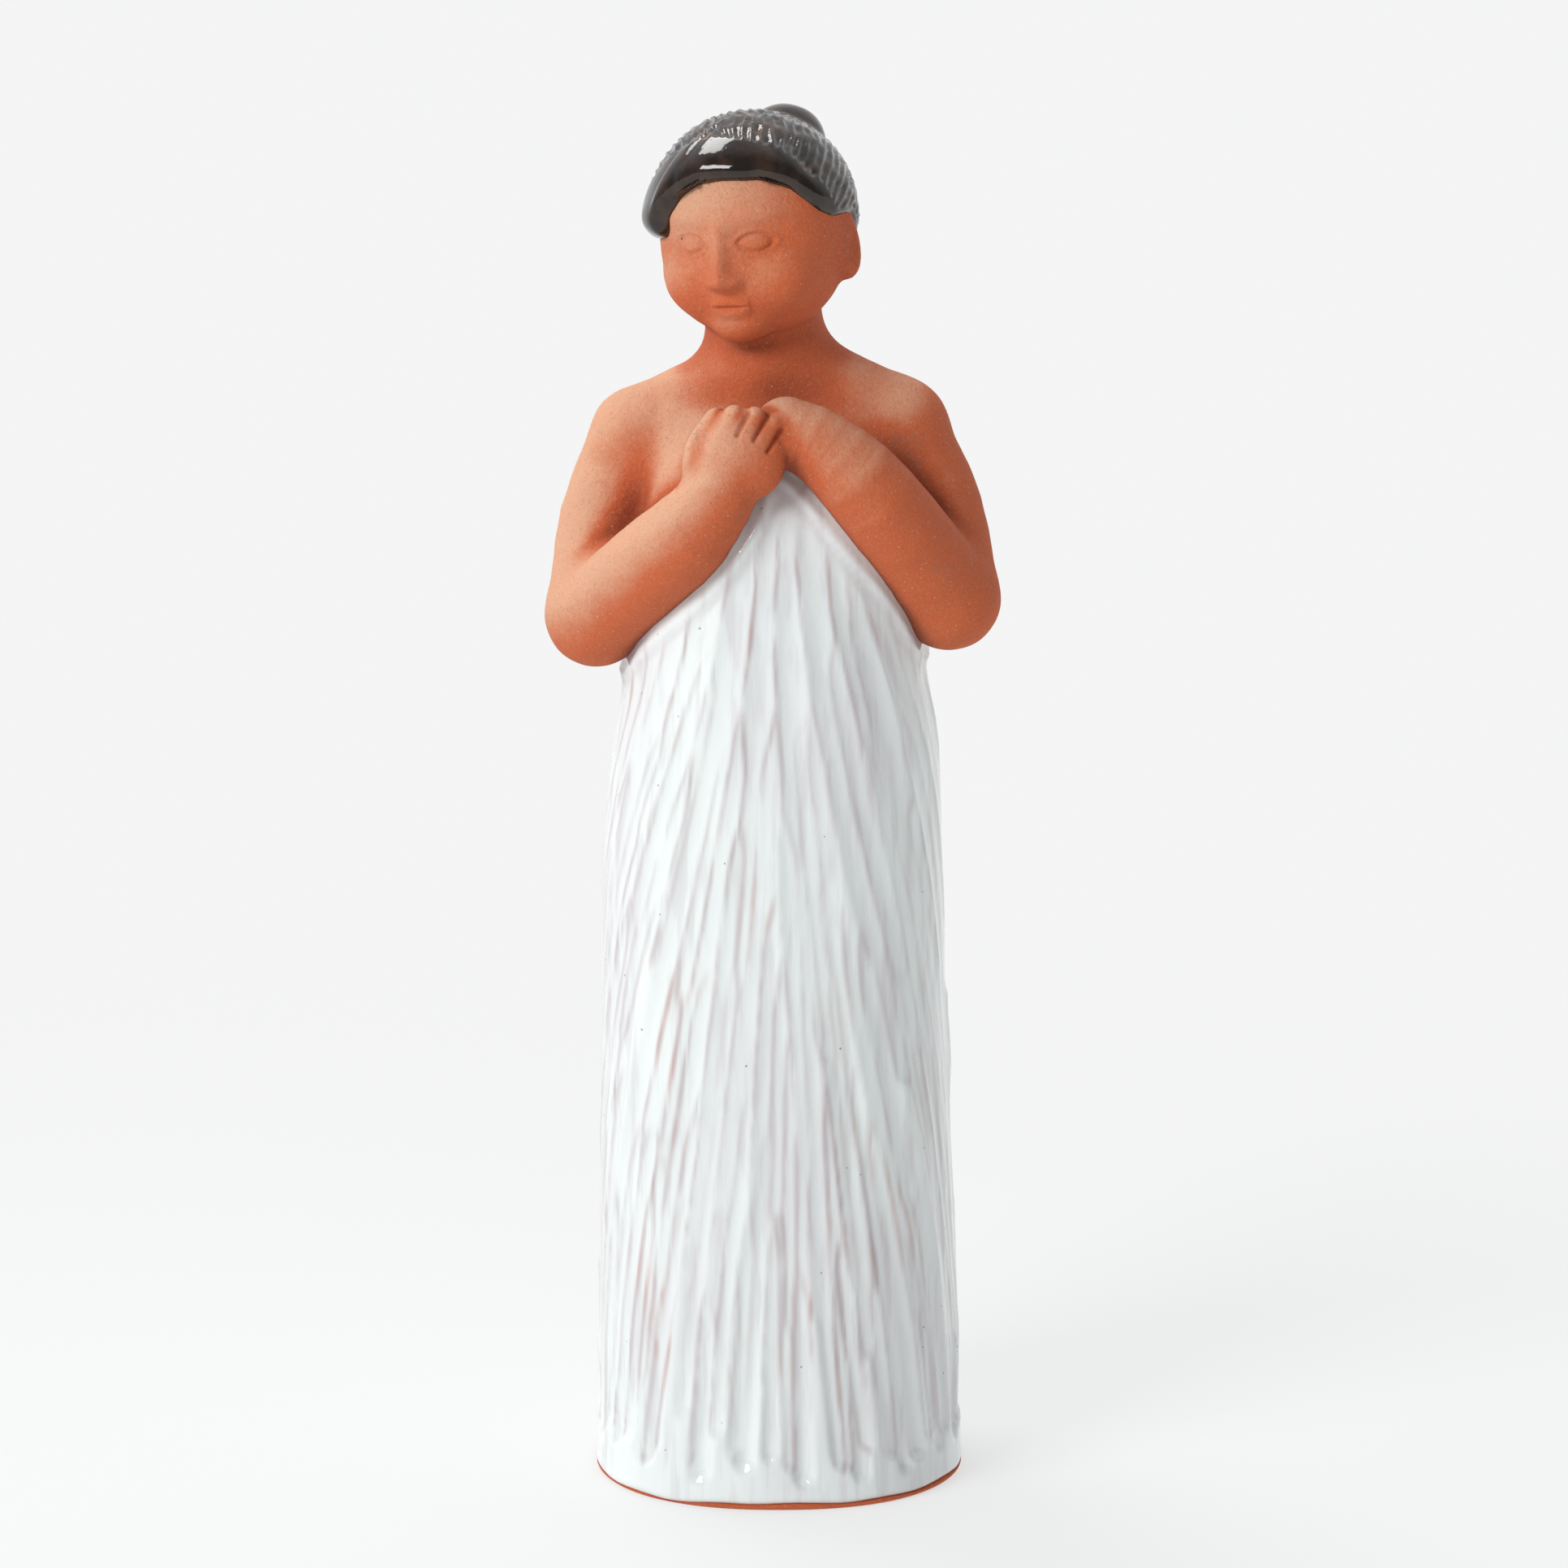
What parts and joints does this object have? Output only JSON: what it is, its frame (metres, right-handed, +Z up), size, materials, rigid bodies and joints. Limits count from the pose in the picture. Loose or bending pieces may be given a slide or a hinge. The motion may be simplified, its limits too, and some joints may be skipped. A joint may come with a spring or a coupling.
{
  "type": "earthenware figurine",
  "caption": "Standing earthenware figurine of a person with folded arms, bare terracotta above a white-glazed gouged wrap, dark-glazed hair in a bun.",
  "frame": {"origin": "middle of the flat underside of the foot", "axes": "+Z up along the figure's height, -Y out of the chest towards the viewer, +X to the viewer's right"},
  "size_m": [0.0949, 0.073, 0.2898],
  "materials": {
    "terracotta": "matte",
    "white_glaze": "gloss",
    "dark_glaze": "gloss"
  },
  "bodies": {
    "root": {"figurine": "terracotta"}
  },
  "joints": []
}
